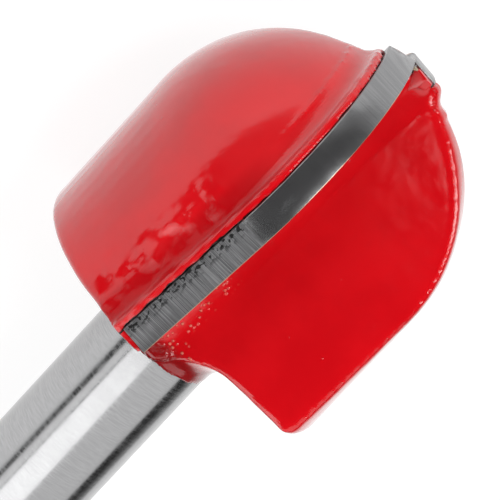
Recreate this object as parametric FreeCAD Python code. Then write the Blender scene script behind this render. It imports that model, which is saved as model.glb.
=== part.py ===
import FreeCAD, Part
import math
import os
from FreeCAD import Placement, Rotation, Vector

# U-groove (round nose) router bit with a plain straight shank and two brazed carbide tips.
#
# The tool is drawn in tool coordinates in millimetres: the Z axis is the turning axis, the
# nose points up and the origin is the centre of the ball that the nose sweeps. Seen from
# the shank the bit cuts clockwise. Wing 1 carries its tip towards -Y and wing 2 is the same
# wing turned half round. At the end the finished tool is laid down as it would come to rest:
# on the rim of the shank and on two points of the head, with one gullet facing up.

# Overall sizes
OVERALL_LENGTH = 54.0
SHANK_RADIUS = 3.175
SHANK_CHAMFER = 0.5
CUT_RADIUS = 9.525
CUT_LENGTH = 17.7

# Steel head behind the cutting edges, whose own ball sits a little lower than the cutting ball
BALL_RADIUS = 8.8
BALL_DROP = 0.2
SKIRT_RADIUS = 8.82
SHOULDER_ROUND = 0.5
NECK_FLARE = 1.8
SEAT_LEDGE = 0.38

# Carbide tips: flat plates with a rounded outer end, ground to clear the work
TIP_THICKNESS = 1.5
TIP_WIDTH = 4.3
TIP_NOSE_DEPTH = 1.1
TIP_PAST_AXIS = 0.1
TIP_HEEL_DROP = 0.36
TIP_PROUD = 0.12
RAKE_HOOK = 9.0
RAKE_SKEW = 4.8

# Raised ridge of steel that backs each tip, and the hollow behind it
RIDGE_WIDTH = 0.42
RIDGE_BELOW_TIP = 0.12
RIDGE_HOLLOW = 1.0
RIDGE_ROOT = 2.0
RIDGE_END_LIFT = 0.25

# Gullets between the wings
WEB_HALF = 1.05
WALL_LEAN = 11.6
WALL_TWIST = 3.5
GULLET_ROUND = 1.9

# Small pad of steel that closes the seat of each tip at its inner end, which slopes as the pad does
PAD_COVER = 0.15
PAD_LIP = 0.05
PAD_SLOPE = 23.0
PAD_DEPTH = 1.7

# Room for the cutting solids to reach outside the head, and past the axis at the nose
REACH = 1.6 * CUT_RADIUS
PAST_NOSE = 0.2

# The resting pose is settled in this many rounds, and points this close are one point
SETTLE_ROUNDS = 8
SAME_POINT = 0.001

AXIS = Vector(0, 0, 1)
CENTRE = Vector(0, 0, 0)
SHANK_END = CUT_RADIUS - OVERALL_LENGTH
TIP_LOW = CUT_RADIUS - CUT_LENGTH
SHOULDER = TIP_LOW - SEAT_LEDGE


def turned(angle):
    """Placement that turns a shape about the tool axis."""
    return Placement(CENTRE, Rotation(AXIS, angle))


def polygon(points):
    """Flat face with straight sides."""
    return Part.Face(Part.makePolygon(points + points[:1]))


def rake_frame():
    """Frame of the first tip: X points out to the edge, Y ahead in the cut, Z to the nose.

    Its XZ plane is the rake face, which passes through the tip of the nose.
    """
    hook = math.radians(RAKE_HOOK)
    skew = math.radians(RAKE_SKEW)
    ahead = Vector(math.cos(hook) * math.cos(skew), math.sin(hook) * math.cos(skew), -math.sin(skew))
    out = Vector(math.sin(hook), -math.cos(hook), 0)
    up = out.cross(ahead)
    origin = ahead * (ahead.z * CUT_RADIUS)
    return Placement(origin, Rotation(out, ahead, up, "ZXY"))


def edge_radius():
    """Radius, in the rake face, of the rounded cutting edge."""
    offset = CUT_RADIUS * math.sin(math.radians(RAKE_SKEW))
    return math.sqrt(CUT_RADIUS ** 2 - offset ** 2)


def flank_lean():
    """Slope that keeps the straight part of the skewed edge at the cutting radius."""
    skew = math.radians(RAKE_SKEW)
    offset = CUT_RADIUS * math.sin(skew) - TIP_LOW * math.tan(skew)
    low_radius = math.sqrt(CUT_RADIUS ** 2 - offset ** 2)
    return (edge_radius() - low_radius) / -TIP_LOW


def turned_blank():
    """Shank, flared neck, flat shoulder and ball-ended head as one turned piece."""
    flare_top = SHANK_RADIUS + NECK_FLARE
    diagonal = 1 - math.sqrt(0.5)
    flare_mid = Vector(SHANK_RADIUS + NECK_FLARE * diagonal, 0, SHOULDER - NECK_FLARE * diagonal)
    edge_mid = Vector(
        SKIRT_RADIUS - SHOULDER_ROUND * diagonal, 0, SHOULDER + SHOULDER_ROUND * diagonal)
    end = Vector(0, 0, SHANK_END)
    end_rim = Vector(SHANK_RADIUS - SHANK_CHAMFER, 0, SHANK_END)
    chamfer_top = Vector(SHANK_RADIUS, 0, SHANK_END + SHANK_CHAMFER)
    neck = Vector(SHANK_RADIUS, 0, SHOULDER - NECK_FLARE)
    flare = Vector(flare_top, 0, SHOULDER)
    edge_in = Vector(SKIRT_RADIUS - SHOULDER_ROUND, 0, SHOULDER)
    edge_out = Vector(SKIRT_RADIUS, 0, SHOULDER + SHOULDER_ROUND)
    ball_low = Vector(BALL_RADIUS, 0, -BALL_DROP)
    ball_mid = Vector(BALL_RADIUS * math.sqrt(0.5), 0, BALL_RADIUS * math.sqrt(0.5) - BALL_DROP)
    ball_top = Vector(0, 0, BALL_RADIUS - BALL_DROP)
    outline = Part.Wire([
        Part.makeLine(end, end_rim),
        Part.makeLine(end_rim, chamfer_top),
        Part.makeLine(chamfer_top, neck),
        Part.Arc(neck, flare_mid, flare).toShape(),
        Part.makeLine(flare, edge_in),
        Part.Arc(edge_in, edge_mid, edge_out).toShape(),
        Part.makeLine(edge_out, ball_low),
        Part.Arc(ball_low, ball_mid, ball_top).toShape(),
        Part.makeLine(ball_top, end),
    ])
    return Part.Face(outline).revolve(CENTRE, AXIS, 360)


def along_edge(section_points, arc_middle=None):
    """Solid that follows the cutting edge in the tip frame, round the ball and down the flank.

    The section is given as points (Y, distance out). With arc_middle, the stretch between
    the third and fourth points is an arc through it.
    """
    start = math.degrees(math.asin((TIP_PAST_AXIS + PAST_NOSE) / edge_radius()))
    points = [Vector(0, y, out) for y, out in section_points]
    sides = []
    for index, point in enumerate(points):
        after = points[(index + 1) % len(points)]
        if arc_middle and index == 2:
            middle = Vector(0, arc_middle[0], arc_middle[1])
            sides.append(Part.Arc(point, middle, after).toShape())
        else:
            sides.append(Part.makeLine(point, after))
    section = Part.Face(Part.Wire(sides))
    across = Vector(0, 1, 0)
    round_end = section.copy()
    round_end.rotate(CENTRE, across, -start)
    ball = round_end.revolve(CENTRE, across, 90 + start)
    flank_end = section.copy()
    flank_end.rotate(CENTRE, across, 90)
    flank = flank_end.extrude(Vector(flank_lean() * (TIP_LOW - REACH), 0, TIP_LOW - REACH))
    return ball.fuse(flank)


def heel_slope():
    """How much the ground outer face of a tip falls for each millimetre behind the edge."""
    return TIP_HEEL_DROP / TIP_THICKNESS


def ridge(frame):
    """Ridge of steel along the back of a tip, falling in a hollow curve to the wing's back."""
    front = -TIP_PROUD
    back = -TIP_THICKNESS - RIDGE_WIDTH
    foot = back - RIDGE_HOLLOW
    inner = BALL_RADIUS - RIDGE_ROOT
    top_front = edge_radius() + front * heel_slope() - RIDGE_BELOW_TIP
    top_back = edge_radius() + back * heel_slope() - RIDGE_BELOW_TIP
    foot_out = top_back - RIDGE_HOLLOW
    bend = RIDGE_HOLLOW * (1 - math.sqrt(0.5))
    solid = along_edge(
        [(front, inner), (front, top_front), (back, top_back), (foot, foot_out), (foot, inner)],
        (back - bend, foot_out + bend))
    solid.Placement = frame
    # The ridge's low end rises a little towards its rim
    rim = SKIRT_RADIUS - SHOULDER_ROUND
    rise = RIDGE_END_LIFT / (CUT_RADIUS - rim)
    room = Part.Face(Part.makePolygon([
        Vector(0, 0, SHOULDER),
        Vector(rim, 0, SHOULDER),
        Vector(REACH, 0, SHOULDER + rise * (REACH - rim)),
        Vector(REACH, 0, REACH),
        Vector(0, 0, REACH),
        Vector(0, 0, SHOULDER),
    ])).revolve(CENTRE, AXIS, 360)
    return solid.common(room)


def tip_plate():
    """Plate in the tip frame with the tip's inner edges, reaching past its outer edge."""
    flank_x = edge_radius() - TIP_WIDTH
    nose_z = edge_radius() - TIP_NOSE_DEPTH
    inner_x = -TIP_PAST_AXIS + TIP_NOSE_DEPTH * math.tan(math.radians(PAD_SLOPE))
    face = polygon([
        Vector(-TIP_PAST_AXIS, 0, REACH),
        Vector(-TIP_PAST_AXIS, 0, edge_radius()),
        Vector(inner_x, 0, nose_z),
        Vector(flank_x, 0, nose_z - flank_x + inner_x),
        Vector(flank_x, 0, TIP_LOW),
        Vector(REACH, 0, TIP_LOW),
        Vector(REACH, 0, REACH),
    ])
    return face.extrude(Vector(0, -TIP_THICKNESS, 0))


def carbide_tip(frame):
    """Flat carbide plate, ground round its outer edge so that the heel clears the cut."""
    radius = edge_radius()
    heel = radius - TIP_HEEL_DROP
    ground = along_edge([(0, 0), (0, radius), (-TIP_THICKNESS, heel), (-TIP_THICKNESS, 0)])
    tip = tip_plate().common(ground)
    tip.Placement = frame
    return tip


def tip_seat(frame):
    """Pocket that a tip is brazed into, open outwards and ahead."""
    seat = tip_plate()
    seat.Placement = frame
    return seat


def nose_pad(frame):
    """Wedge left standing in the next gullet, in front of the inner end of a tip."""
    face_x = -TIP_PAST_AXIS - PAD_COVER
    top = edge_radius() - PAD_LIP
    foot = top - PAD_DEPTH
    foot_x = face_x + PAD_DEPTH * math.tan(math.radians(PAD_SLOPE))
    heel_y = -TIP_THICKNESS - PAD_LIP
    face = polygon([
        Vector(face_x, heel_y, REACH),
        Vector(face_x, heel_y, top),
        Vector(foot_x, heel_y, foot),
        Vector(REACH, heel_y, foot),
        Vector(REACH, heel_y, REACH),
    ])
    pad = face.extrude(Vector(0, TIP_THICKNESS + 2 * PAD_LIP, 0))
    pad.Placement = frame
    return pad


def gullet(frame):
    """Chip space ahead of the first tip: its side is the wing's face, its floor the flat wall."""
    side_normal = frame.Rotation.multVec(Vector(0, 1, 0))
    side_point = frame.multVec(Vector(0, -TIP_PROUD, 0))
    lean = math.tan(math.radians(WALL_LEAN))
    twist = math.tan(math.radians(WALL_TWIST))
    wall_normal = Vector(-twist, -1, lean).normalize()
    wall_point = Vector(0, -WEB_HALF, 0)
    line = side_normal.cross(wall_normal).normalize()
    # Point of the corner line nearest the middle of the head
    side_gap = side_normal.dot(side_point)
    wall_gap = wall_normal.dot(wall_point)
    both = side_normal.dot(wall_normal)
    share = 1 - both * both
    corner = (side_normal * ((side_gap - wall_gap * both) / share)
              + wall_normal * ((wall_gap - side_gap * both) / share))
    along_side = side_normal.cross(line)
    if along_side.dot(wall_normal) < 0:
        along_side = -along_side
    along_wall = wall_normal.cross(line)
    if along_wall.dot(side_normal) < 0:
        along_wall = -along_wall
    start = corner - line * REACH
    face = polygon([
        start,
        start + along_side * (2 * REACH),
        start + along_side * (2 * REACH) + along_wall * (2 * REACH),
        start + along_wall * (2 * REACH),
    ])
    space = face.extrude(line * (2 * REACH))
    corner_edges = []
    for edge in space.Edges:
        ends = [vertex.Point for vertex in edge.Vertexes]
        if all((end - corner).cross(line).Length < SAME_POINT for end in ends):
            corner_edges.append(edge)
    return space.makeFillet(GULLET_ROUND, corner_edges)


def steel_body(frames):
    """Shank and head in one piece, with the ridges, gullets and tip seats milled on it."""
    body = turned_blank()
    for frame in frames:
        body = body.fuse(ridge(frame))
    first_gullet = gullet(frames[0]).cut(nose_pad(frames[1]))
    second_gullet = first_gullet.copy()
    second_gullet.Placement = turned(180)
    body = body.cut(first_gullet).cut(second_gullet)
    for frame in frames:
        body = body.cut(tip_seat(frame))
    return body.removeSplitter()


def resting_placement(frames):
    """Lay the tool down on the rim of its shank and on two points at the low end of its head.

    One point is the low corner of the second tip's edge, the other is where the first
    wing's back ends at its trailing wall. The gullet between them faces the floor, and the
    axis runs over +X with the nose end a little higher.
    """
    edge = frames[1].multVec(Vector(edge_radius() + flank_lean() * TIP_LOW, 0, TIP_LOW))
    low = SHOULDER + SHOULDER_ROUND
    wall_y = WEB_HALF - low * math.tan(math.radians(WALL_LEAN))
    wall_y = wall_y + SKIRT_RADIUS * math.tan(math.radians(WALL_TWIST))
    back = Vector(-math.sqrt(SKIRT_RADIUS ** 2 - wall_y ** 2), wall_y, low)
    rim = SHANK_END + SHANK_CHAMFER
    chord = edge - back
    down = Vector(-chord.y, chord.x, 0).normalize()
    if down.dot(edge) < 0:
        down = -down
    across = AXIS.cross(down)
    tilt = 0.0
    # The turn about the axis and the tilt settle until rim and both points share a plane
    for _ in range(SETTLE_ROUNDS):
        turn = math.asin(chord.z * math.tan(tilt) / across.dot(chord))
        under = Rotation(AXIS, math.degrees(turn)).multVec(down)
        tilt = math.atan((under.dot(edge) - SHANK_RADIUS) / (edge.z - rim))
    aim = Rotation(AXIS, -math.degrees(math.atan2(under.y, under.x)))
    nose_way = Vector(math.cos(tilt), 0, math.sin(tilt))
    floor_way = Vector(math.sin(tilt), 0, -math.cos(tilt))
    lay = Rotation(floor_way, nose_way.cross(floor_way), nose_way, "ZXY")
    return Placement(CENTRE, lay.multiply(aim))


def build():
    """All pieces, by node name, at rest: floor at Z = 0, origin under the middle of the tool."""
    frames = [rake_frame(), turned(180).multiply(rake_frame())]
    rest = resting_placement(frames)
    pieces = {
        "body": steel_body(frames),
        "carbide_tip_1": carbide_tip(frames[0]),
        "carbide_tip_2": carbide_tip(frames[1]),
    }
    for shape in pieces.values():
        shape.Placement = rest.multiply(shape.Placement)
    box = Part.makeCompound(list(pieces.values())).optimalBoundingBox(False, False)
    to_origin = Vector(-box.Center.x, -box.Center.y, -box.ZMin)
    for shape in pieces.values():
        shape.translate(to_origin)
    return pieces


if __name__ == "__main__":
    os.makedirs("parts", exist_ok=True)
    for name, shape in build().items():
        print(name, "valid" if shape.isValid() else "NOT VALID", len(shape.Solids), "solid",
              round(shape.Volume, 1), "mm3")
        shape.exportStep("parts/" + name + ".step")
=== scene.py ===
# %% [markdown]
# # A round-nose router bit
#
# This lesson dresses a imported CAD model of a router bit that cuts U-shaped grooves. The real
# tool is a steel shank and a red painted head with two wings, and each wing carries a ground
# carbide tip that is brazed on. The CAD model gives every size and place. Blender adds what
# the CAD solids leave plain: the rounded coat of paint over the milled steel, the lumps of
# braze under it, the grinding marks on carbide and shank, and the light of a small studio.
#
# The first cell loads the CAD model and bakes the place of each of its parts into the mesh.

import math

import bpy
from mathutils import Matrix, Vector


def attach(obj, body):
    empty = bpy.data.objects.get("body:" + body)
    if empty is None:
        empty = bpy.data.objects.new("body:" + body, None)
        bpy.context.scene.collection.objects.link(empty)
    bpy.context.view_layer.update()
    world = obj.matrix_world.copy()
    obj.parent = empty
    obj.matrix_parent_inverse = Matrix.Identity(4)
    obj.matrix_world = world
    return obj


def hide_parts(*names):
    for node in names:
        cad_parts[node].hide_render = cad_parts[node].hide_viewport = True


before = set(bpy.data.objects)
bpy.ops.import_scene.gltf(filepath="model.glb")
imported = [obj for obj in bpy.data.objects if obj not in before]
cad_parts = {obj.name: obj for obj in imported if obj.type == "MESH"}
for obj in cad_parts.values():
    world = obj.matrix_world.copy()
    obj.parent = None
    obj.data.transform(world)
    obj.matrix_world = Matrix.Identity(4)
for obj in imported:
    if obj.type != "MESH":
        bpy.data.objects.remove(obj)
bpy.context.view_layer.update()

# %% [markdown]
# ## Two ways to look at the same tool
#
# The tool lies on the floor, with its shank a little lower than its head and rolled to a
# stable pose. That is awkward to model in. A turner would stand it upright, so every new
# piece is made upright in millimetres, with the turning axis on Z and the centre of the
# ball-shaped nose at the origin. One matrix, LAY, then lays a finished piece down.

# %% The tool's own frame
TILT = math.radians(6.969579)
ROLL = math.radians(-127.501439)
BALL_CENTRE = Vector((0.0174811, 0.0, 0.00848757))

nose_way = Vector((math.cos(TILT), 0, math.sin(TILT)))
floor_way = Vector((math.sin(TILT), 0, -math.cos(TILT)))
side_way = nose_way.cross(floor_way)
lying = Matrix((floor_way, side_way, nose_way)).transposed()
TURN = lying @ Matrix.Rotation(ROLL, 3, "Z")
LAY = Matrix.Translation(BALL_CENTRE) @ TURN.to_4x4() @ Matrix.Scale(0.001, 4)
print("the nose points along", [round(v, 3) for v in nose_way])

# %% [markdown]
# A few short helpers serve every piece: pick it, stand a copy of a CAD node up, apply its
# modifiers, lay it down again and count its triangles.

# %% Helpers for picking and finishing a piece
def only(piece):
    """Select this piece and nothing else."""
    bpy.ops.object.select_all(action="DESELECT")
    piece.select_set(True)
    bpy.context.view_layer.objects.active = piece


def stand_up(node, name):
    """A copy of a CAD node's mesh, merged into one skin and stood upright in millimetres."""
    piece = bpy.data.objects.new(name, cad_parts[node].data.copy())
    bpy.context.scene.collection.objects.link(piece)
    piece.data.transform(LAY.inverted())
    piece.data.materials.clear()
    only(piece)
    bpy.ops.object.mode_set(mode="EDIT")
    bpy.ops.mesh.select_all(action="SELECT")
    bpy.ops.mesh.remove_doubles(threshold=0.001)
    bpy.ops.mesh.normals_make_consistent(inside=False)
    bpy.ops.object.mode_set(mode="OBJECT")
    return piece


def apply_all(piece):
    """Apply every modifier of a piece, in their order."""
    only(piece)
    for modifier in list(piece.modifiers):
        bpy.ops.object.modifier_apply(modifier=modifier.name)


def lay_down(piece):
    """Lay an upright piece down where the CAD model lies."""
    piece.data.transform(LAY)
    piece.data.update()


def triangles(piece):
    """How many triangles the piece has."""
    return sum(len(polygon.vertices) - 2 for polygon in piece.data.polygons)


# %% [markdown]
# ## The painted head
#
# On the real tool the head is milled from steel, the tips are brazed on, and the whole head is
# then dipped or sprayed red. Paint rounds every edge and drapes over the small lumps of braze
# that ran out beside the tips. A bevel would give each edge the same radius and could not
# drape over anything. So the head is a copy of the CAD body, cut off where the paint ends on
# the shank, with two small lumps pushed into its neck, and all of it is then wrapped in one
# new skin with a voxel remesh, which joins and rounds in the same step.

# %% Cut the head from the body
PAINT_LINE = -10.57

head = stand_up("body", "painted_head")
bpy.ops.object.mode_set(mode="EDIT")
bpy.ops.mesh.select_all(action="SELECT")
bpy.ops.mesh.bisect(
    plane_co=(0, 0, PAINT_LINE), plane_no=(0, 0, 1), use_fill=True, clear_inner=True)
bpy.ops.object.mode_set(mode="OBJECT")
print("head cut at the paint line:", triangles(head), "triangles")

# %% [markdown]
# Much of what follows is told by its distance from the rake face, the flat front of a tip.
# The face leans forward by the hook angle and runs askew to the axis. Two directions of the
# first tip are enough: the way it cuts, and the way that points out of the head.

# %% The rake face of the first tip
HOOK = math.radians(9.0)
SKEW = math.radians(4.8)
CUT_RADIUS = 9.525
TIP_THICKNESS = 1.5

ahead = Vector((math.cos(HOOK) * math.cos(SKEW), math.sin(HOOK) * math.cos(SKEW), -math.sin(SKEW)))
outward = Vector((math.sin(HOOK), -math.cos(HOOK), 0))
print("the first tip cuts towards", [round(v, 3) for v in ahead])

# %% [markdown]
# Braze ran down to the neck and set in two small lumps. Each one is a squashed ball, joined to
# the head before it is wrapped.

# %% Lumps of braze at the neck
# Each lump: where it sits, and its half sizes across, outwards and along the tool.
NECK_LUMPS = [
    ((0.30, -3.25, -10.05), (0.55, 0.34, 0.36)),
    ((0.75, -3.15, -9.75), (0.40, 0.34, 0.34)),
]


def lump(place, half_sizes):
    """One rounded lump as a squashed ball."""
    bpy.ops.object.select_all(action="DESELECT")
    bpy.ops.mesh.primitive_ico_sphere_add(subdivisions=3, radius=1, location=place, scale=half_sizes)
    bpy.ops.object.transform_apply(location=True, rotation=True, scale=True)
    return bpy.context.object


def join_to(piece, others):
    """Join other pieces into this one."""
    only(piece)
    for other in others:
        other.select_set(True)
    bpy.ops.object.join()


join_to(head, [lump(place, sizes) for place, sizes in NECK_LUMPS])
print("lumps at the neck:", len(NECK_LUMPS))

# %% [markdown]
# The voxel size of the wrap sets how round the painted edges come out. A few rounds of
# smoothing then take away the steps of its grid.

# %% Wrap the head in one coat
COAT_VOXEL = 0.125
COAT_ROUNDS = 3

coat = head.modifiers.new("coat", "REMESH")
coat.mode = "VOXEL"
coat.voxel_size = COAT_VOXEL
soften = head.modifiers.new("soften", "SMOOTH")
soften.factor = 0.5
soften.iterations = COAT_ROUNDS
apply_all(head)
print("head wrapped:", triangles(head), "triangles")

# %% [markdown]
# Paint lies softer in some places than in others: on the long outer edges of the flat walls,
# in the hollow behind each ridge, and at the neck. A vertex group says how much of a smoothing
# each point takes. Its weights come from a small function of the point's place, with the
# second wing looked at half a turn round.

# %% Helpers for soft places
def half_turn(point, wing):
    """The same point, or for wing 2 the one that lies half a turn round the axis."""
    return Vector((point.x * wing, point.y * wing, point.z))


def behind_tip(point, wing):
    """How far a point lies behind the rake face of one wing's tip."""
    return ahead.z * CUT_RADIUS - ahead.dot(half_turn(point, wing))


def step(value, none, full):
    """Share from 0 to 1 as a value goes from one limit to the other."""
    return max(0.0, min(1.0, (value - none) / (full - none)))


def group_by_share(piece, name, share_of):
    """Vertex group whose weights come from a function of the place."""
    group = piece.vertex_groups.new(name=name)
    for vertex in piece.data.vertices:
        share = share_of(vertex.co, vertex.normal)
        if share > 0:
            group.add([vertex.index], share, "REPLACE")
    return group.name


def soften_places(piece, name, share_of, rounds):
    """Smooth a piece where a function of the place says so."""
    smooth = piece.modifiers.new(name, "SMOOTH")
    smooth.vertex_group = group_by_share(piece, name, share_of)
    smooth.factor = 0.5
    smooth.iterations = rounds
    apply_all(piece)


# %% [markdown]
# Each flat wall lies in a plane that leans a little. Its outer edge is where that plane meets
# the round back of the wing. The plain backs are all that is far from both walls and ridges.

# %% Places on walls, hollows and backs
WALL_WAY = Vector((-0.061, -1.0, 0.205)).normalized()
WALL_PLACE = Vector((0, -1.05, 0))
OUTER = 8.0


def from_wall(point, wing):
    """How far a point lies from the plane of one wing's flat wall."""
    return abs(WALL_WAY.dot(half_turn(point, wing) - WALL_PLACE))


def near_wall_edge(point, normal):
    """The outer edge of each flat wall."""
    share = 0.0
    if point.xy.length > OUTER or point.length > OUTER:
        for wing in (1, -1):
            if point.x * wing > 2.5:
                share = max(share, step(from_wall(point, wing), 0.7, 0.2))
    return share


def in_hollow(point, normal):
    """The hollow behind the ridge, on the lower half of each wing."""
    share = 0.0
    for wing in (1, -1):
        gap = behind_tip(point, wing)
        share = max(share, step(gap, 2.1, 2.5) * step(gap, 4.2, 3.4) * step(point.z, 4.0, 1.0))
    return share if point.xy.length > 6 else 0.0


def plain_back(point, normal):
    """The plain round backs of the wings, away from the ridges and the flat walls."""
    away = min(from_wall(point, wing) for wing in (1, -1))
    gap = min(abs(behind_tip(point, wing)) for wing in (1, -1))
    straight_out = Vector((point.x, point.y, max(point.z, 0))).normalized()
    share = step(normal.dot(straight_out), 0.7, 0.9) * step(away, 0.8, 1.8)
    return share * step(gap, 4.2, 5.5) * step(point.z, -8.2, -7.4)


def at_neck(point, normal):
    """The neck, and the foot of the head around it."""
    return step(point.z, -9.0, -9.5)


# %% [markdown]
# Three places at the nose differ. The wrap blurs the two small wedges of steel there, so they
# are worn down, and crisp ones are made later. The end of the second wing's ridge is lower
# than the first one's, and beside it the back of that wing is a little fuller.

# %% Places at the nose
PAD_MIDDLE = Vector((1.4, 0.2, 8.95))
LOW_RIDGE_END = Vector((1.6, 2.5, 8.85))


def near_pad(point, normal):
    """The blurred wedges of the wrap, which stand behind the crisp ones."""
    return step(min((half_turn(point, wing) - PAD_MIDDLE).length for wing in (1, -1)), 1.5, 1.1)


def near_low_ridge(point, normal):
    """The end of the second wing's ridge at the nose."""
    return step((point - LOW_RIDGE_END).length, 1.3, 0.7)


def full_back(point, normal):
    """The fuller part of the second wing's back."""
    if point.length < OUTER or normal.dot(point.normalized()) < 0.6 or point.x < 0:
        return 0.0
    across = step(point.y, 0.2, 1.2) * step(point.y, 5.0, 3.5)
    return step(point.z, 4.0, 7.2) * across * (1 - near_low_ridge(point, normal))


# %% [markdown]
# Each kind of place takes its own number of smoothing rounds. The fuller back is pushed out
# last, and the wall edges beside it are smoothed once more.

# %% Soften the head
FULLER = 0.22

soften_places(head, "pads", near_pad, 60)
soften_places(head, "low_ridge", near_low_ridge, 30)
soften_places(head, "backs", plain_back, 20)
soften_places(head, "necks", at_neck, 5)
soften_places(head, "hollows", in_hollow, 24)
soften_places(head, "wall_edges", near_wall_edge, 24)
swell = head.modifiers.new("swell", "DISPLACE")
swell.vertex_group = group_by_share(head, "full_back", full_back)
swell.mid_level = 0
swell.strength = FULLER
apply_all(head)
soften_places(head, "swollen_edges", near_wall_edge, 12)
print("head softened, with", len(head.vertex_groups), "groups of soft places")

# %% [markdown]
# The paint stops on the shank in a slightly wavy line, and there it stands a little proud of
# the bare steel. One displacement thickens the neck, another pushes its end up and down the
# axis with a cloud texture, and a third makes the whole coat a little uneven. Stronger clouds
# beside the lower half of the first tip give the small lumps of braze under the paint.

# %% The wavy end of the paint, and lumps under it
FILM = 0.05
WAVE = 0.35
UNEVEN = 0.03
LUMP_HEIGHT = 0.26


def on_neck(point, normal):
    """The painted end of the neck."""
    return step(point.z, PAINT_LINE + 1.2, PAINT_LINE + 0.3)


def at_paint_end(point, normal):
    """The very end of the paint."""
    return step(point.z, PAINT_LINE + 1.0, PAINT_LINE + 0.1)


def near_lumps(point, normal):
    """The strip beside the lower half of the first tip, where braze ran out."""
    gap = behind_tip(point, 1)
    across = step(gap, 1.75, 2.3) * step(gap, 4.4, 3.2)
    return across * step(point.z, -8.0, -7.2) * step(point.z, 1.0, 0.0) * step(point.y, -6, -7)


def clouds(name, size, depth=2):
    """A cloud texture for a displacement."""
    texture = bpy.data.textures.new(name, "CLOUDS")
    texture.noise_scale = size
    texture.noise_depth = depth
    return texture


def push(piece, name, strength, texture=None, share_of=None):
    """Add a displacement along the normals, by a texture or by a fixed amount."""
    displace = piece.modifiers.new(name, "DISPLACE")
    displace.strength = strength
    if share_of is not None:
        displace.vertex_group = group_by_share(piece, name, share_of)
    if texture is None:
        displace.mid_level = 0
    else:
        displace.texture = texture
        displace.texture_coords = "LOCAL"
    return displace


push(head, "neck", FILM, share_of=on_neck)
wavy = push(head, "paint_end", WAVE, clouds("paint_wave", 1.3), at_paint_end)
wavy.direction = "Z"
push(head, "thick_and_thin", UNEVEN, clouds("thick_and_thin", 1.6))
push(head, "braze_lumps", LUMP_HEIGHT, clouds("braze_lumps", 1.0, 1), near_lumps)
apply_all(head)
soften_places(head, "soft_lumps", near_lumps, 5)
lay_down(head)
print("head finished:", triangles(head), "triangles")

# %% [markdown]
# ## The bare shank
#
# The shank is a ground steel rod. A cylinder with many sides is enough, as long as its far
# rim gets the small chamfer that lets it into a collet. Its near end runs up inside the
# painted neck, where the coat hides it.

# %% Turn the shank
SHANK_RADIUS = 3.175
SHANK_END = -44.475
SHANK_TOP = -9.9
CHAMFER = 0.5

bpy.ops.object.select_all(action="DESELECT")
bpy.ops.mesh.primitive_cylinder_add(
    vertices=160, radius=SHANK_RADIUS, depth=SHANK_TOP - SHANK_END,
    location=(0, 0, (SHANK_TOP + SHANK_END) / 2))
shank = bpy.context.object
shank.name = "bare_shank"
bpy.ops.object.transform_apply(location=True, rotation=True, scale=True)
bpy.ops.object.mode_set(mode="EDIT")
bpy.ops.mesh.select_all(action="DESELECT")
bpy.ops.object.mode_set(mode="OBJECT")
for polygon in shank.data.polygons:
    polygon.select = polygon.normal.z < -0.9
bpy.ops.object.mode_set(mode="EDIT")
bpy.ops.mesh.inset(thickness=CHAMFER, depth=0)
bpy.ops.mesh.select_mode(type="VERT")
bpy.ops.object.mode_set(mode="OBJECT")
for vertex in shank.data.vertices:
    on_rim = math.hypot(vertex.co.x, vertex.co.y) > SHANK_RADIUS - CHAMFER / 2
    if on_rim and vertex.co.z < SHANK_END + CHAMFER / 2:
        vertex.co.z = SHANK_END + CHAMFER
only(shank)
bpy.ops.object.shade_smooth_by_angle(angle=math.radians(30))
lay_down(shank)
print("shank:", triangles(shank), "triangles")

# %% [markdown]
# ## The carbide tips
#
# The CAD tips have the right form, but their edges are mathematically sharp, and a real edge
# catches a thin line of light. Each tip is a merged copy of its CAD node, whose flat faces
# are dissolved into single faces, and whose edges get a tiny bevel.

# %% Bevel the tips
EDGE_BEVEL = 0.045
SAME_FACE = math.radians(0.05)


def tip(node, name):
    """A carbide tip with broken edges."""
    piece = stand_up(node, name)
    bpy.ops.object.mode_set(mode="EDIT")
    bpy.ops.mesh.select_all(action="SELECT")
    bpy.ops.mesh.dissolve_limited(angle_limit=SAME_FACE)
    bpy.ops.object.mode_set(mode="OBJECT")
    bevel = piece.modifiers.new("broken_edges", "BEVEL")
    bevel.width = EDGE_BEVEL
    bevel.segments = 2
    bevel.limit_method = "ANGLE"
    bevel.angle_limit = math.radians(35)
    bevel.harden_normals = True
    apply_all(piece)
    bpy.ops.object.shade_smooth_by_angle(angle=math.radians(30))
    lay_down(piece)
    print(name, triangles(piece), "triangles")
    return piece


first_tip = tip("carbide_tip_1", "ground_tip_1")
second_tip = tip("carbide_tip_2", "ground_tip_2")

# %% [markdown]
# ## The wedges at the nose
#
# A small wedge of steel closes the seat of each tip at the nose. The wrap would blur it, so it
# is made as a piece of its own: one flat facet in front, one narrow facet beside it, and a
# bevel all round. Its corners are given for the wing whose wedge faces the camera.

# %% Pads
PAD_FRONT = [
    (0.397, -0.273, 9.40),
    (1.006, -0.259, 9.30),
    (0.985, -0.130, 8.632),
    (0.692, -0.019, 8.078),
    (0.362, -0.151, 8.776),
    (0.236, -0.239, 9.236),
]
PAD_SIDE = [
    (1.400, -0.08, 9.22),
    (1.350, 0.01, 8.742),
]
PAD_DEPTH = 0.45
PAD_BEVEL = 0.05


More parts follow.
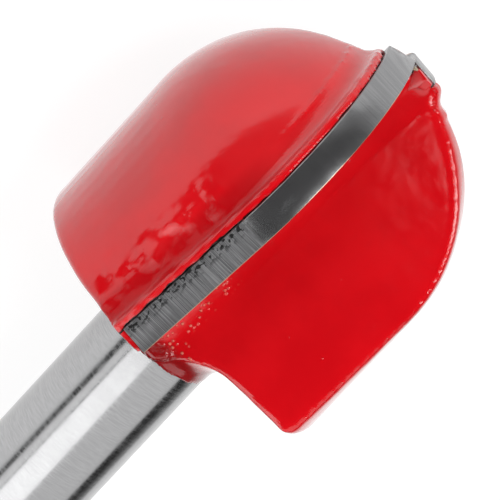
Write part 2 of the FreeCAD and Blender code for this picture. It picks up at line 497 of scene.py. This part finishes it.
def pad(name, wing):
    """The pad of one tip."""
    front = [half_turn(Vector(point), wing) for point in PAD_FRONT]
    side = [half_turn(Vector(point), wing) for point in PAD_SIDE]
    back = [point + half_turn(Vector((0, PAD_DEPTH, 0)), wing) for point in front + side]
    points = front + side + back
    faces = [(0, 5, 4, 3, 2, 1), (1, 2, 7, 6)]
    rim = [0, 1, 6, 7, 2, 3, 4, 5]
    for first, second in zip(rim, rim[1:] + rim[:1]):
        faces.append((first, second, second + 8, first + 8))
    faces.append(tuple(index + 8 for index in rim[::-1]))
    mesh = bpy.data.meshes.new(name)
    mesh.from_pydata(points, [], faces)
    piece = bpy.data.objects.new(name, mesh)
    bpy.context.scene.collection.objects.link(piece)
    only(piece)
    bpy.ops.object.mode_set(mode="EDIT")
    bpy.ops.mesh.select_all(action="SELECT")
    bpy.ops.mesh.normals_make_consistent(inside=False)
    bpy.ops.object.mode_set(mode="OBJECT")
    bevel = piece.modifiers.new("round_edges", "BEVEL")
    bevel.width = PAD_BEVEL
    bevel.segments = 3
    bevel.limit_method = "ANGLE"
    bevel.angle_limit = math.radians(15)
    apply_all(piece)
    bpy.ops.object.shade_smooth_by_angle(angle=math.radians(40))
    lay_down(piece)
    print(name, triangles(piece), "triangles")
    return piece


first_pad = pad("nose_pad_2", 1)
second_pad = pad("nose_pad_1", -1)

# %% [markdown]
# Above each wedge a little braze stands out that was not painted. Three squashed balls are
# melted into one drop, and the same drop lies half a turn round.

# %% Drops of braze at the nose
# Each ball: where it sits, and its three half sizes.
DROPS = [
    ((0.20, -0.28, 9.28), (0.13, 0.10, 0.11)),
    ((0.08, -0.28, 9.18), (0.08, 0.08, 0.12)),
    ((0.31, -0.30, 9.32), (0.09, 0.08, 0.07)),
]
DROP_DETAIL = 0.02

drops = lump(*DROPS[0])
drops.name = "braze_drops"
others = [lump(place, sizes) for place, sizes in DROPS[1:]]
others += [lump(half_turn(Vector(place), -1), sizes) for place, sizes in DROPS]
join_to(drops, others)
melt = drops.modifiers.new("melt", "REMESH")
melt.mode = "VOXEL"
melt.voxel_size = DROP_DETAIL
apply_all(drops)
bpy.ops.object.shade_smooth()
lay_down(drops)
print("drops:", triangles(drops), "triangles")

# %% [markdown]
# ## Patterns that follow the tool
#
# Paint, grinding marks and scratches follow the tool's axis, not the floor. A Mapping node
# undoes the lying pose, so that every pattern can be written in upright millimetres. A small
# helper adds nodes and sets their plain sockets.

# %% Node helpers
UPRIGHT = TURN.transposed()
UPRIGHT_SHIFT = -(UPRIGHT @ (1000 * BALL_CENTRE))


def blank_material(name):
    """A new material, with its tree and its shader."""
    material = bpy.data.materials.new(name)
    material.use_nodes = True
    return material, material.node_tree, material.node_tree.nodes["Principled BSDF"]


def add(tree, kind, **settings):
    """Add a node. Settings named after a socket set or link it, the others are properties."""
    node = tree.nodes.new(kind)
    for name, value in settings.items():
        socket = node.inputs.get(name.replace("_", " "))
        if socket is None:
            setattr(node, name, value)
        elif isinstance(value, bpy.types.NodeSocket):
            tree.links.new(value, socket)
        else:
            socket.default_value = value
    return node


def tool_coordinates(tree, stretch=(1, 1, 1)):
    """Upright millimetres of the tool, then stretched along X, Y and Z."""
    place = add(tree, "ShaderNodeTexCoord").outputs["Object"]
    upright = add(tree, "ShaderNodeMapping", Vector=place, Scale=(1000, 1000, 1000),
                  Rotation=UPRIGHT.to_euler(), Location=UPRIGHT_SHIFT).outputs["Vector"]
    if stretch == (1, 1, 1):
        return upright
    return add(tree, "ShaderNodeMapping", Vector=upright, Scale=stretch).outputs["Vector"]


def sum_up(tree, operation, first, second=0.0, clamp=False):
    """One step of arithmetic."""
    node = add(tree, "ShaderNodeMath", operation=operation, use_clamp=clamp)
    for socket, value in zip(node.inputs, (first, second)):
        if isinstance(value, bpy.types.NodeSocket):
            tree.links.new(value, socket)
        else:
            socket.default_value = value
    return node.outputs[0]


def times(tree, *values):
    """Product of several values."""
    product = values[0]
    for value in values[1:]:
        product = sum_up(tree, "MULTIPLY", product, value)
    return product


def fade(tree, value, low, high, low_result=0.0, high_result=1.0):
    """A smooth step from one value to another."""
    node = add(tree, "ShaderNodeMapRange", interpolation_type="SMOOTHSTEP", Value=value)
    node.inputs["From Min"].default_value = low
    node.inputs["From Max"].default_value = high
    node.inputs["To Min"].default_value = low_result
    node.inputs["To Max"].default_value = high_result
    return node.outputs["Result"]


def blend(tree, share, first, second):
    """Mix two colours, which may be sockets."""
    node = add(tree, "ShaderNodeMix", data_type="RGBA")
    for index, value in ((0, share), (6, first), (7, second)):
        if isinstance(value, bpy.types.NodeSocket):
            tree.links.new(value, node.inputs[index])
        else:
            node.inputs[index].default_value = value
    return node.outputs[2]


def bump(tree, height, depth_mm, under=None):
    """Relief of so many millimetres, over another relief if one is given."""
    node = add(tree, "ShaderNodeBump", Height=height, Distance=depth_mm / 1000, Strength=1.0)
    if under is not None:
        tree.links.new(under, node.inputs["Normal"])
    return node.outputs["Normal"]


# %% [markdown]
# Some places on a surface are told by the tips again: how far a point lies behind a rake face,
# and how far out of the head. A share is worked out for each wing, and the larger one counts.

# %% Helpers for places on the tool
def along(tree, place, way, wing):
    """How far a point of wing 1 or wing 2 lies along a direction given for wing 1."""
    dot = add(tree, "ShaderNodeVectorMath", operation="DOT_PRODUCT")
    tree.links.new(place, dot.inputs[0])
    dot.inputs[1].default_value = (way.x * wing, way.y * wing, way.z)
    return dot.outputs["Value"]


def gap_behind(tree, place, wing):
    """How far a point lies behind the rake face of one wing's tip."""
    return sum_up(tree, "SUBTRACT", ahead.z * CUT_RADIUS, along(tree, place, ahead, wing))


def further_out(tree, place, wing, limit):
    """Whether a point lies further out of the head than a limit."""
    return sum_up(tree, "GREATER_THAN", along(tree, place, outward, wing), limit)


def either_wing(share_of, tree, place, height):
    """The larger share of the two wings."""
    first, second = [share_of(tree, place, height, wing) for wing in (1, -1)]
    return sum_up(tree, "MAXIMUM", first, second)


# %% [markdown]
# ## The red paint
#
# The coat is a deep gloss red over a slightly uneven ground. Under a clear coat the colour
# itself stays even, so the life comes from relief: a faint orange peel, slow waves, and a few
# dust specks.

# %% Red paint
RED = (0.80, 0.0016, 0.0070, 1)
DEEP_RED = (0.72, 0.0012, 0.006, 1)

paint, tree, shader = blank_material("red_paint")
place = tool_coordinates(tree)
height = add(tree, "ShaderNodeSeparateXYZ", Vector=place).outputs["Z"]
slow = add(tree, "ShaderNodeTexNoise", Vector=place, Scale=0.28, Detail=3.0).outputs["Fac"]
colour = blend(tree, fade(tree, slow, 0.35, 0.65), DEEP_RED, RED)

peel = add(tree, "ShaderNodeTexNoise", Vector=place, Scale=1.7, Detail=2.0).outputs["Fac"]
waves = add(tree, "ShaderNodeTexNoise", Vector=place, Scale=0.45, Detail=1.0).outputs["Fac"]
relief = bump(tree, peel, 0.003, bump(tree, waves, 0.006))
dust = add(tree, "ShaderNodeTexVoronoi", Vector=place, Scale=0.9).outputs["Distance"]
relief = bump(tree, fade(tree, dust, 0.0, 0.06, 1.0, 0.0), 0.02, relief)
print("plain coat:", len(tree.nodes), "nodes")

# %% [markdown]
# Beside the lower half of each tip a thin black line with a ragged side is partly a dark joint
# and partly painted shade of its gap. The hollow behind each ridge is dull, with painted shade
# that darkens it. At the root of each flat wall, towards the shoulder, the paint has small
# raised specks, painted pale as painted highlights.

# %% Places on the paint
def joint_and_gap_shade(tree, place, height, wing):
    """The heel line of one tip: partly a dark joint, partly painted shade of its gap."""
    gap = gap_behind(tree, place, wing)
    ragged = add(tree, "ShaderNodeTexNoise", Vector=place, Scale=1.4, Detail=3.0).outputs["Fac"]
    low_half = times(tree, fade(tree, height, 4.0, -0.5), fade(tree, height, -8.2, -7.9))
    width = sum_up(tree, "ADD", times(tree, ragged, 0.36), -0.09)
    width = sum_up(tree, "ADD", times(tree, width, low_half), TIP_THICKNESS)
    line = fade(tree, sum_up(tree, "SUBTRACT", width, gap), -0.03, 0.03)
    behind = sum_up(tree, "GREATER_THAN", gap, TIP_THICKNESS - 0.1)
    return times(tree, line, behind, further_out(tree, place, wing, 5.0))


def shaded_hollow(tree, place, height, wing):
    """The hollow behind the ridge of one wing, darkened with painted shade."""
    gap = gap_behind(tree, place, wing)
    groove = times(tree, fade(tree, gap, 1.75, 2.1), fade(tree, gap, 3.3, 2.6))
    outside = further_out(tree, place, wing, 5.0)
    return times(tree, groove, outside, fade(tree, height, 4.0, 1.0))


def wall_root(tree, place, height, wing):
    """The root of one flat wall, with the strip of the shoulder below it."""
    gap = gap_behind(tree, place, wing)
    root = times(tree, fade(tree, gap, -2.2, -1.7), fade(tree, gap, 0.4, 0.0))
    shoulder = times(tree, fade(tree, gap, -3.3, -2.8), fade(tree, height, -8.5, -8.8))
    root = sum_up(tree, "MAXIMUM", root, shoulder)
    outside = further_out(tree, place, wing, 2.2)
    return times(tree, root, outside, fade(tree, height, -9.5, -9.2))


joint_and_shade = either_wing(joint_and_gap_shade, tree, place, height)
hollow_shade = either_wing(shaded_hollow, tree, place, height)
root = either_wing(wall_root, tree, place, height)
print("paint with its places:", len(tree.nodes), "nodes")

# %% [markdown]
# The places are laid over the plain coat one after the other, the black line last. The neck is
# painted darker as a whole, as painted shade. Along the black line and in the dull hollows the
# gloss goes too.

# %% Finish the paint
# A dark red of painted shade, for the neck and the hollows.
SHADE_RED = (0.32, 0.004, 0.006, 1)
# A pale red of painted highlights, for the small specks.
SPECK_HIGHLIGHT_RED = (1.0, 0.30, 0.20, 1)
# Black for the heel line: partly a dark joint, partly painted shade of its gap.
JOINT_AND_SHADE_BLACK = (0.012, 0.010, 0.010, 1)

# Small raised specks at the wall roots; their pale colour is a painted highlight.
grains = add(tree, "ShaderNodeTexVoronoi", Vector=place, Scale=3.6).outputs["Distance"]
specks_and_highlights = times(tree, fade(tree, grains, 0.36, 0.16), root, fade(tree, height, -4.0, -6.5))
# Painted shade: the hollows, and after them the whole neck, are darkened.
colour = blend(tree, times(tree, hollow_shade, 0.4), colour, SHADE_RED)
colour = blend(tree, fade(tree, height, -8.9, -9.7), colour, SHADE_RED)
colour = blend(tree, times(tree, specks_and_highlights, 0.7), colour, SPECK_HIGHLIGHT_RED)
# The black heel line: a dark joint and painted shade of its gap.
colour = blend(tree, joint_and_shade, colour, JOINT_AND_SHADE_BLACK)
relief = bump(tree, specks_and_highlights, 0.06, relief)
unglossed = sum_up(tree, "MAXIMUM", joint_and_shade, hollow_shade)
shader.inputs["Base Color"].default_value = RED
tree.links.new(colour, shader.inputs["Base Color"])
tree.links.new(relief, shader.inputs["Normal"])
tree.links.new(relief, shader.inputs["Coat Normal"])
tree.links.new(fade(tree, slow, 0.3, 0.7, 0.16, 0.24), shader.inputs["Roughness"])
tree.links.new(sum_up(tree, "SUBTRACT", 1.0, unglossed), shader.inputs["Coat Weight"])
shader.inputs["Specular IOR Level"].default_value = 0.25
shader.inputs["Coat Roughness"].default_value = 0.12
for piece in (head, first_pad, second_pad):
    piece.data.materials.append(paint)
    print(piece.name, "is painted")

# %% [markdown]
# ## Ground steel
#
# The shank was ground while it turned, so its scratches run round it. A noise that is
# stretched round the axis, and squeezed along it, gives both the relief and the streaks.

# %% Ground steel
DARK_STEEL = (0.39, 0.39, 0.395, 1)
PALE_STEEL = (0.46, 0.46, 0.465, 1)

steel, tree, shader = blank_material("ground_steel")
streaks = add(tree, "ShaderNodeTexNoise", Vector=tool_coordinates(tree, (1.5, 1.5, 22)), Scale=1.0,
              Detail=3.0).outputs["Fac"]
blotches = add(tree, "ShaderNodeTexNoise", Vector=tool_coordinates(tree, (1, 1, 1.5)), Scale=0.7,
               Detail=4.0).outputs["Fac"]
colour = blend(tree, fade(tree, streaks, 0.3, 0.7), DARK_STEEL, PALE_STEEL)
tree.links.new(colour, shader.inputs["Base Color"])
shader.inputs["Metallic"].default_value = 1.0
rough = fade(tree, blotches, 0.3, 0.7, 0.11, 0.15)
rough = sum_up(tree, "ADD", fade(tree, streaks, 0.3, 0.7, 0.0, 0.12), rough)
tree.links.new(rough, shader.inputs["Roughness"])
tree.links.new(bump(tree, streaks, 0.001), shader.inputs["Normal"])
shank.data.materials.append(steel)
print("steel:", len(tree.nodes), "nodes")

# %% [markdown]
# ## Ground carbide
#
# The tips are grey cemented carbide. The straight flank shows a coarse grind that runs across
# the land, with dark chips towards its heel. The ball is finished finer. Along the cutting edge
# runs a thin bright line of painted highlight, warmed by a painted reflection of the red beside
# it. It is found by its distance from the rake face and by its reach, which is the distance from
# the axis, or on the ball the distance from the ball's centre.

# %% Places on the carbide
def reach(tree, place, height):
    """Distance from the axis, or on the ball from its centre."""
    flat = add(tree, "ShaderNodeVectorMath", operation="MULTIPLY")
    tree.links.new(place, flat.inputs[0])
    flat.inputs[1].default_value = (1, 1, 0)
    across = add(tree, "ShaderNodeVectorMath", operation="LENGTH", Vector=flat.outputs["Vector"])
    across = across.outputs["Value"]
    rise = sum_up(tree, "MAXIMUM", height, 0.0)
    square = sum_up(tree, "ADD", times(tree, across, across), times(tree, rise, rise))
    return sum_up(tree, "SQRT", square)


def nearest_face(tree, place):
    """Distance from the nearer one of the two rake faces."""
    first, second = [sum_up(tree, "ABSOLUTE", gap_behind(tree, place, wing)) for wing in (1, -1)]
    return sum_up(tree, "MINIMUM", first, second)


carbide, tree, shader = blank_material("ground_carbide")
place = tool_coordinates(tree)
height = add(tree, "ShaderNodeSeparateXYZ", Vector=place).outputs["Z"]
gap = nearest_face(tree, place)
coarse = fade(tree, height, 0.4, -0.1)
# The cutting edge's thin line of painted highlight.
edge_highlight = times(tree, fade(tree, gap, 0.06, 0.03), fade(tree, height, 9.0, 8.6))
edge_highlight = times(tree, edge_highlight, fade(tree, reach(tree, place, height), 9.40, 9.46))
chips = add(tree, "ShaderNodeTexNoise", Vector=tool_coordinates(tree, (1, 1, 0.7)), Scale=5.0,
            Detail=4.0).outputs["Fac"]
chips = times(tree, fade(tree, chips, 0.52, 0.57), fade(tree, gap, 0.8, 1.3), coarse)
print("places on the carbide:", len(tree.nodes), "nodes")

# %% Ground carbide
GROUND_DARK, GROUND_PALE = (0.11, 0.11, 0.115, 1), (0.30, 0.30, 0.305, 1)
FINE_DARK, FINE_PALE = (0.25, 0.25, 0.255, 1), (0.31, 0.31, 0.315, 1)
CHIP_BLACK = (0.03, 0.03, 0.03, 1)
# A warm pale grey of painted highlight, with a painted reflection of the red, for the cutting edge.
EDGE_HIGHLIGHT = (0.60, 0.40, 0.30, 1)

lines = add(tree, "ShaderNodeTexNoise", Vector=tool_coordinates(tree, (0.3, 0.3, 22)), Scale=1.0,
            Detail=4.0).outputs["Fac"]
grain = add(tree, "ShaderNodeTexNoise", Vector=place, Scale=9.0, Detail=3.0).outputs["Fac"]
ground = blend(tree, fade(tree, lines, 0.3, 0.7), GROUND_DARK, GROUND_PALE)
fine = blend(tree, fade(tree, lines, 0.3, 0.7), FINE_DARK, FINE_PALE)
colour = blend(tree, coarse, fine, ground)
colour = blend(tree, chips, colour, CHIP_BLACK)
colour = blend(tree, edge_highlight, colour, EDGE_HIGHLIGHT)
tree.links.new(colour, shader.inputs["Base Color"])
shader.inputs["Metallic"].default_value = 0.9
tree.links.new(fade(tree, coarse, 0, 1, 0.26, 0.45), shader.inputs["Roughness"])
relief = bump(tree, times(tree, lines, coarse), 0.03)
relief = bump(tree, grain, 0.003, relief)
relief = bump(tree, sum_up(tree, "SUBTRACT", 1.0, chips), 0.03, relief)
tree.links.new(relief, shader.inputs["Normal"])
for piece in (first_tip, second_tip):
    piece.data.materials.append(carbide)
    print(piece.name, "is carbide")

# %% [markdown]
# The bare braze at the nose is a pale, slightly spotted brass.

# %% Braze
DARK_BRASS = (0.62, 0.50, 0.33, 1)
PALE_BRASS = (0.75, 0.66, 0.50, 1)

braze, tree, shader = blank_material("braze")
spots = add(tree, "ShaderNodeTexNoise", Vector=tool_coordinates(tree), Scale=6.0, Detail=3.0)
spots = spots.outputs["Fac"]
colour = blend(tree, fade(tree, spots, 0.4, 0.6), DARK_BRASS, PALE_BRASS)
tree.links.new(colour, shader.inputs["Base Color"])
shader.inputs["Metallic"].default_value = 0.8
tree.links.new(fade(tree, spots, 0.3, 0.7, 0.25, 0.45), shader.inputs["Roughness"])
tree.links.new(bump(tree, spots, 0.02), shader.inputs["Normal"])
drops.data.materials.append(braze)
print("braze:", len(tree.nodes), "nodes")

# %% [markdown]
# ## Hand the pieces to the CAD model
#
# Every piece rides on the tool's one body, and the CAD node that it stands for is hidden.

# %% Ride and replace
for piece, node, finish in (
        (head, "body", "painted_steel"),
        (shank, "body", "painted_steel"),
        (first_pad, "body", "painted_steel"),
        (second_pad, "body", "painted_steel"),
        (drops, "body", "painted_steel"),
        (first_tip, "carbide_tip_1", "carbide"),
        (second_tip, "carbide_tip_2", "carbide")):
    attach(piece, "root")
    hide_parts(node)
    print(piece.name, "stands for", node)

# %% [markdown]
# ## The floor
#
# The tool lies on a sheet of white paper. For the camera, and for what mirrors it, the sheet
# adds light of its own so that it renders white, and the tool's soft shadow stays on it. It
# ends a little way behind the nose, so the gloss paint mirrors white low down only.

# %% White sheet
SHEET_MIDDLE = (-0.030, -0.090, -0.00002)
SHEET_SIZE = (0.17, 0.216, 1)
SHEET_GLOW = 0.88

bpy.ops.object.select_all(action="DESELECT")
bpy.ops.mesh.primitive_plane_add(size=1, location=SHEET_MIDDLE, scale=SHEET_SIZE)
floor = bpy.context.object
floor.name = "white_sheet"
white, tree, shader = blank_material("white_sheet")
shader.inputs["Base Color"].default_value = (0.22, 0.22, 0.22, 1)
shader.inputs["Roughness"].default_value = 0.9
shader.inputs["Specular IOR Level"].default_value = 0.1
path = add(tree, "ShaderNodeLightPath")
seen = sum_up(tree, "MAXIMUM", path.outputs["Is Camera Ray"], path.outputs["Is Glossy Ray"])
seen = sum_up(tree, "MAXIMUM", seen, path.outputs["Is Transmission Ray"])
shader.inputs["Emission Color"].default_value = (1, 1, 1, 1)
tree.links.new(times(tree, seen, SHEET_GLOW), shader.inputs["Emission Strength"])
floor.data.materials.append(white)
print(floor.name, "measures", SHEET_SIZE[0], "by", SHEET_SIZE[1], "m")

# %% [markdown]
# ## The studio
#
# The photograph was lit by soft boxes above the shank, with darkness round the camera. Bare
# steel and gloss paint mirror all of that, so the room itself is dark, a little paler towards
# the horizon. The camera sees it white, like the sheet.

# %% World
world = bpy.data.worlds.new("studio")
bpy.context.scene.world = world
world.use_nodes = True
tree = world.node_tree
background = tree.nodes["Background"]
way = add(tree, "ShaderNodeTexCoord").outputs["Generated"]
rise = add(tree, "ShaderNodeVectorMath", operation="DOT_PRODUCT")
tree.links.new(way, rise.inputs[0])
rise.inputs[1].default_value = (-0.2, 0.2, 1.0)
sky = fade(tree, rise.outputs["Value"], -0.3, 0.25, 0.66, 0.04)
path = add(tree, "ShaderNodeLightPath")
strength = blend(tree, path.outputs["Is Camera Ray"], sky, (1, 1, 1, 1))
tree.links.new(strength, background.inputs["Color"])
background.inputs["Strength"].default_value = 1.0
print("world:", world.name)

# %% [markdown]
# Three soft boxes make the bands on the shank, and a large one above lights the whole scene.
# A very small one gives the glint on the flat wall. The fill brightens the plain backs, and
# gloss does not mirror it.

# %% Lamps
def soft_box(name, place, aim, along, wide, tall, radiance):
    """A rectangular lamp that looks from one upright place to another, in millimetres.

    Its wide side runs along a given direction. The camera does not see it.
    """
    away = (Vector(place) - Vector(aim)).normalized()
    side = Vector(along)
    side = (side - side.dot(away) * away).normalized()
    data = bpy.data.lights.new(name, "AREA")
    data.shape = "RECTANGLE"
    data.size, data.size_y = wide / 1000, tall / 1000
    data.energy = radiance * math.pi * data.size * data.size_y
    lamp = bpy.data.objects.new(name, data)
    upright = Matrix((side, away.cross(side), away)).transposed()
    lamp.matrix_world = Matrix.Translation(LAY @ Vector(place)) @ (TURN @ upright).to_4x4()
    lamp.visible_camera = False
    bpy.context.scene.collection.objects.link(lamp)
    print(name, "gives", round(data.energy, 3), "W")
    return lamp


def at_sky(azimuth, elevation, distance):
    """Upright place, in millimetres, of a spot in the sky over the tool."""
    a, e = math.radians(azimuth), math.radians(elevation)
    way = Vector((math.cos(a) * math.cos(e), math.sin(a) * math.cos(e), math.sin(e)))
    return 1000 * distance * (TURN.transposed() @ way)


# Each lamp: place, aim, the way its wide side runs, width, height and radiance.
SHANK_MIDDLE = (0, 0, -15)
soft_box("key", (-2, -100, -75), SHANK_MIDDLE, (1, 0, 0), 86, 66, 2.2)
soft_box("key_side", (-59, -90, -72), SHANK_MIDDLE, (1, -0.3, 0), 28, 66, 1.3)
soft_box("side", (94, -66, -50), SHANK_MIDDLE, (0.574, 0.82, 0), 150, 80, 0.95)
soft_box("top", at_sky(-20, 60, 0.5), (0, 0, 0), (1, 0, 0), 280, 280, 6.5)
soft_box("glint", (-8, -148, 33.5), (5, 0, 6), (1, 0, 0), 5, 5.5, 4.5)
fill = soft_box("fill", at_sky(62, 18, 0.15), (0, 0, 0), (0, 0, 1), 200, 110, 1.8)
fill.visible_glossy = False

# %% [markdown]
# ## The camera
#
# The photograph looks down on the lying tool, with the camera rolled so that the tool runs
# from the lower left to the upper right. Its place and its three directions were fitted to
# the edges of the head and shank.

# %% Camera
CAMERA_PLACE = Vector((0.363, -158.07, 47.75))
CAMERA_BACK = Vector((0, -0.9511, 0.3090)).normalized()
CAMERA_RIGHT = Vector((0.7320, 0.2106, 0.6480))
CAMERA_LENS = 234.7

right = (CAMERA_RIGHT - CAMERA_RIGHT.dot(CAMERA_BACK) * CAMERA_BACK).normalized()
camera_data = bpy.data.cameras.new("camera")
camera_data.lens = CAMERA_LENS
camera_data.sensor_width = 36
camera_data.clip_start = 0.005
camera = bpy.data.objects.new("camera", camera_data)
camera.matrix_world = Matrix.Translation(LAY @ CAMERA_PLACE) @ (TURN @ Matrix(
    (right, CAMERA_BACK.cross(right), CAMERA_BACK)).transposed()).to_4x4()
bpy.context.scene.collection.objects.link(camera)
bpy.context.scene.camera = camera
print("camera lens:", camera_data.lens, "mm")

# %% [markdown]
# ## Finish

# %% View transform
bpy.context.scene.view_settings.view_transform = "Standard"
